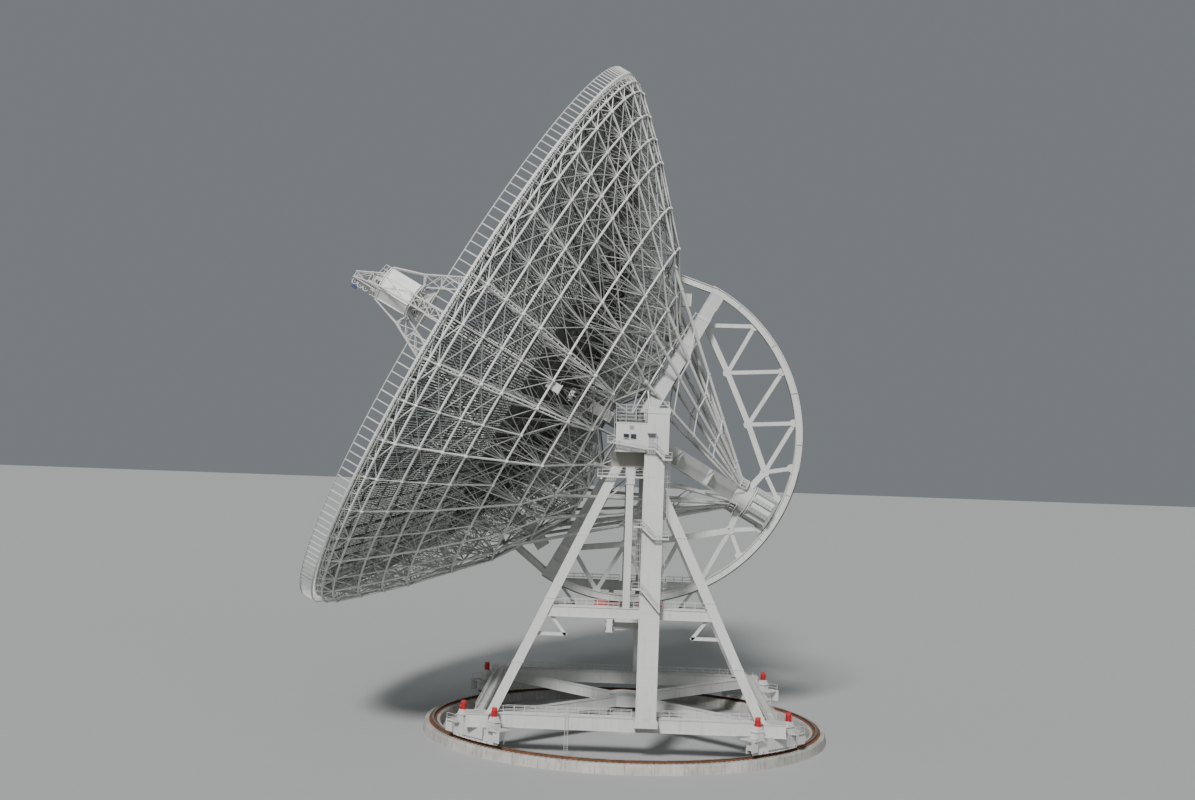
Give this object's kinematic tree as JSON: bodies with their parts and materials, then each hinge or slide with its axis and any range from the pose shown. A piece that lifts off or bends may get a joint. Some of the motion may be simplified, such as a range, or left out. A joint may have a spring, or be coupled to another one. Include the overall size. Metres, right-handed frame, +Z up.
{
  "type": "scale model of a steerable radio telescope dish",
  "caption": "Steerable radio telescope dish on a rotating tower frame, with a latticed back, elevation wheel, counterweight and focus cabin, as a one-tenth scale model.",
  "frame": {"origin": "ground level at the centre of the azimuth track, on the underside of the central pintle block", "axes": "+Z up along the azimuth axis, X along the elevation axis with the near tower at +X, the dish looking towards -Y and up at rest"},
  "size_m": [10.24, 8.7051, 11.065],
  "materials": {
    "white_paint": "weathered off-white paint on steel",
    "grey_paint": "weathered light grey paint on steel box girders",
    "panel_paint": "matt off-white paint on reflector panels",
    "red_paint": "red paint on drive motors and gearboxes",
    "gear_steel": "bare greased gear rack",
    "rail_steel": "rail with brown rust beside a bright running strip",
    "concrete": null
  },
  "bodies": {
    "foundation": {"foundation_ring": "concrete", "azimuth_rail": "rail_steel", "pintle_base": "concrete"},
    "alidade": {"base_frame": "white_paint", "azimuth_truck_rear_near": "white_paint", "azimuth_truck_rear_far": "white_paint", "azimuth_truck_front_far": "white_paint", "azimuth_truck_front_near": "white_paint", "front_leg_near": "white_paint", "rear_leg_near": "white_paint", "lift_column_near": "white_paint", "tower_strut_near": "white_paint", "tie_beam_near": "white_paint", "bearing_house_near": "white_paint", "front_leg_far": "white_paint", "rear_leg_far": "white_paint", "lift_column_far": "white_paint", "tower_strut_far": "white_paint", "tie_beam_far": "white_paint", "bearing_house_far": "white_paint", "drive_bridge": "white_paint", "elevation_drives": "red_paint"},
    "dish": {"trunnion_near": "grey_paint", "trunnion_far": "grey_paint", "upper_arms": "grey_paint", "lower_arms": "grey_paint", "rear_arms": "grey_paint", "centre_hub": "grey_paint", "elevation_wheel_upper": "white_paint", "elevation_wheel_lower": "white_paint", "elevation_gear_rack": "gear_steel", "counterweight_drum": "white_paint", "umbrella_tubes_upper": "white_paint", "umbrella_tubes_lower": "white_paint", "dish_panels_a": "panel_paint", "dish_panels_b": "panel_paint", "dish_panels_c": "panel_paint", "dish_panels_d": "panel_paint", "back_structure_a": "white_paint", "back_structure_b": "white_paint", "back_structure_c": "white_paint", "back_structure_d": "white_paint", "rim_walkway": "white_paint", "focus_leg_near": "white_paint", "focus_leg_top": "white_paint", "focus_leg_far": "white_paint", "focus_leg_bottom": "white_paint", "focus_cabin": "white_paint", "apex_frame": "white_paint", "secondary_reflector": "panel_paint", "vertex_cabin": "white_paint"}
  },
  "joints": [
    {"name": "azimuth", "type": "hinge", "parent": "foundation", "child": "alidade", "pos_m": [0, 0, 0.5], "axis": [0, 0, 1], "range_deg": [-240, 240]},
    {"name": "elevation", "type": "hinge", "parent": "alidade", "child": "dish", "pos_m": [0, 0, 5], "axis": [-1, 0, 0], "range_deg": [-22, 65]}
  ]
}
